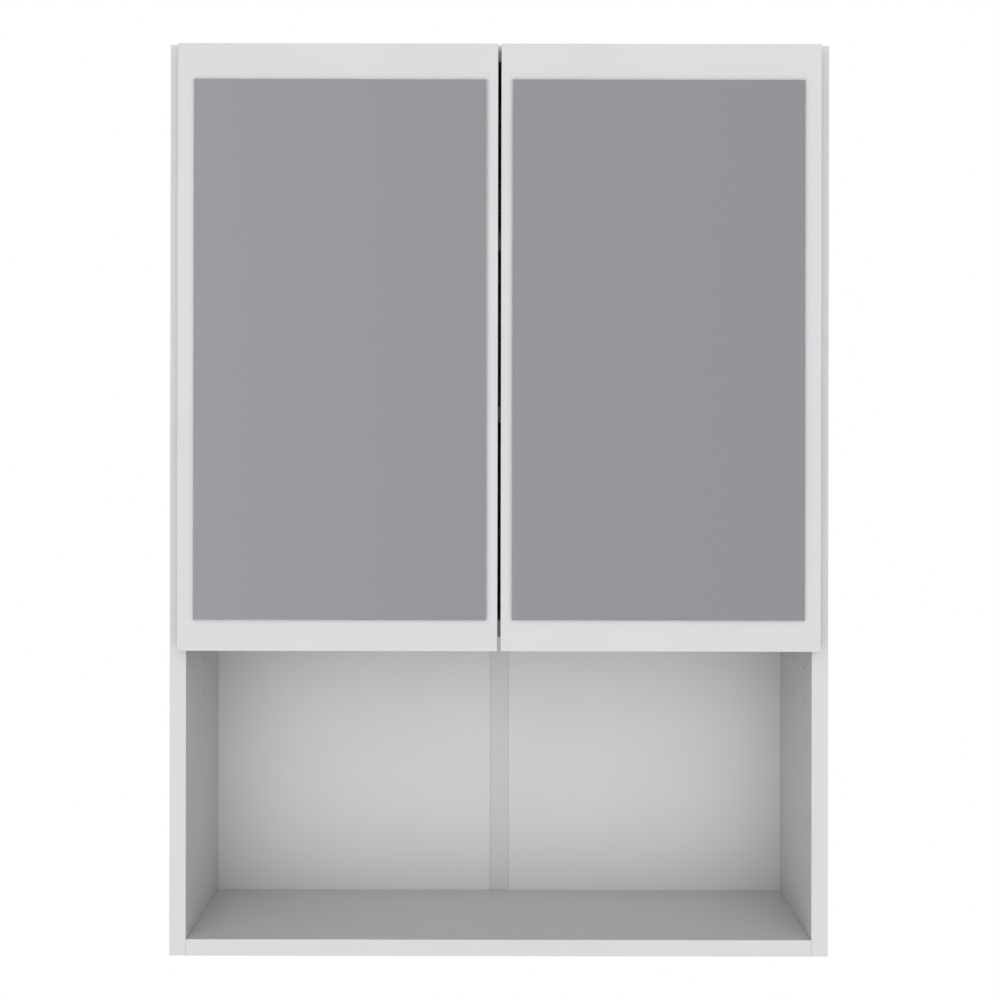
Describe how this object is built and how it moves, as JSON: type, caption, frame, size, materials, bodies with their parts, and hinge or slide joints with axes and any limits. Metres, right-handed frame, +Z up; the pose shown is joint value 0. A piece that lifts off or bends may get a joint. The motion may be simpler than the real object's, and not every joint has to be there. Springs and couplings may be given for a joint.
{
  "type": "hanging wall cabinet",
  "caption": "White wall cabinet with mirror-faced doors on concealed spring hinges, adjustable shelves behind them and an open shelf bay below.",
  "frame": {"origin": "centre of the hanging rail's rear face, in the plane of the wall", "axes": "+X to the right seen from the front, +Y into the wall, +Z up; the doors face -Y"},
  "size_m": [0.6, 0.1794, 0.83],
  "materials": {
    "white_melamine": "satin white melamine on particle board",
    "white_hardboard": "white lacquered hardboard, plain brown behind",
    "white_plastic": "satin extruded plastic",
    "mirror_glass": "silvered float glass with ground edges",
    "foam_tape": "dark foam mounting tape",
    "nickelled_steel": "bright nickel plate",
    "zinc_steel": "zinc plate",
    "clear_bumper": "clear soft bumper"
  },
  "bodies": {
    "carcase": {"left_side_panel": "white_melamine", "right_side_panel": "white_melamine", "bottom_panel": "white_melamine", "top_panel": "white_melamine", "fixed_shelf": "white_melamine", "back_board_left": "white_hardboard", "back_board_right": "white_hardboard", "back_joining_strip": "white_plastic", "hanging_rail": "white_melamine", "left_hanger_plate": "zinc_steel", "right_hanger_plate": "zinc_steel", "lower_adjustable_shelf": "white_melamine", "lower_shelf_pin_left_front": "nickelled_steel", "lower_shelf_pin_left_rear": "nickelled_steel", "lower_shelf_pin_right_front": "nickelled_steel", "lower_shelf_pin_right_rear": "nickelled_steel", "upper_adjustable_shelf": "white_melamine", "upper_shelf_pin_left_front": "nickelled_steel", "upper_shelf_pin_left_rear": "nickelled_steel", "upper_shelf_pin_right_front": "nickelled_steel", "upper_shelf_pin_right_rear": "nickelled_steel", "left_lower_hinge_arm": "nickelled_steel", "left_lower_hinge_mounting_plate": "nickelled_steel", "left_upper_hinge_arm": "nickelled_steel", "left_upper_hinge_mounting_plate": "nickelled_steel", "right_lower_hinge_arm": "nickelled_steel", "right_lower_hinge_mounting_plate": "nickelled_steel", "right_upper_hinge_arm": "nickelled_steel", "right_upper_hinge_mounting_plate": "nickelled_steel"},
    "left_door": {"left_door_panel": "white_melamine", "left_mirror": "mirror_glass", "left_mirror_tape": "foam_tape", "left_door_bumper_lower": "clear_bumper", "left_door_bumper_upper": "clear_bumper", "left_lower_hinge_cup": "nickelled_steel", "left_upper_hinge_cup": "nickelled_steel"},
    "left_outer_links": {"left_lower_hinge_outer_link": "nickelled_steel", "left_upper_hinge_outer_link": "nickelled_steel"},
    "left_inner_links": {"left_lower_hinge_inner_link": "nickelled_steel", "left_upper_hinge_inner_link": "nickelled_steel"},
    "right_door": {"right_door_panel": "white_melamine", "right_mirror": "mirror_glass", "right_mirror_tape": "foam_tape", "right_door_bumper_lower": "clear_bumper", "right_door_bumper_upper": "clear_bumper", "right_lower_hinge_cup": "nickelled_steel", "right_upper_hinge_cup": "nickelled_steel"},
    "right_outer_links": {"right_lower_hinge_outer_link": "nickelled_steel", "right_upper_hinge_outer_link": "nickelled_steel"},
    "right_inner_links": {"right_lower_hinge_inner_link": "nickelled_steel", "right_upper_hinge_inner_link": "nickelled_steel"}
  },
  "joints": [
    {"name": "left_outer_link_turn", "type": "hinge", "parent": "carcase", "child": "left_outer_links", "pos_m": [-0.2558, -0.153, 0], "axis": [0, 0, -1], "range_deg": [-27, 0]},
    {"name": "left_door_swing", "type": "hinge", "parent": "left_outer_links", "child": "left_door", "pos_m": [-0.2818, -0.163, 0], "axis": [0, 0, -1], "range_deg": [0, 121.8], "stiffness_Nm_per_rad": 0.3, "springref_deg": -28.65},
    {"name": "left_inner_link_turn", "type": "hinge", "parent": "carcase", "child": "left_inner_links", "pos_m": [-0.2693, -0.17, 0], "axis": [0, 0, -1], "range_deg": [-46.5, 0]},
    {"name": "right_outer_link_turn", "type": "hinge", "parent": "carcase", "child": "right_outer_links", "pos_m": [0.2558, -0.153, 0], "axis": [0, 0, 1], "range_deg": [-27, 0]},
    {"name": "right_door_swing", "type": "hinge", "parent": "right_outer_links", "child": "right_door", "pos_m": [0.2818, -0.163, 0], "axis": [0, 0, 1], "range_deg": [0, 121.8], "stiffness_Nm_per_rad": 0.3, "springref_deg": -28.65},
    {"name": "right_inner_link_turn", "type": "hinge", "parent": "carcase", "child": "right_inner_links", "pos_m": [0.2693, -0.17, 0], "axis": [0, 0, 1], "range_deg": [-46.5, 0]}
  ],
  "couplings": [
    {"joint": "left_outer_link_turn", "follows": "left_door_swing", "ratio": -0.2206},
    {"joint": "left_inner_link_turn", "follows": "left_door_swing", "ratio": -0.3796},
    {"joint": "right_outer_link_turn", "follows": "right_door_swing", "ratio": -0.2206},
    {"joint": "right_inner_link_turn", "follows": "right_door_swing", "ratio": -0.3796}
  ]
}
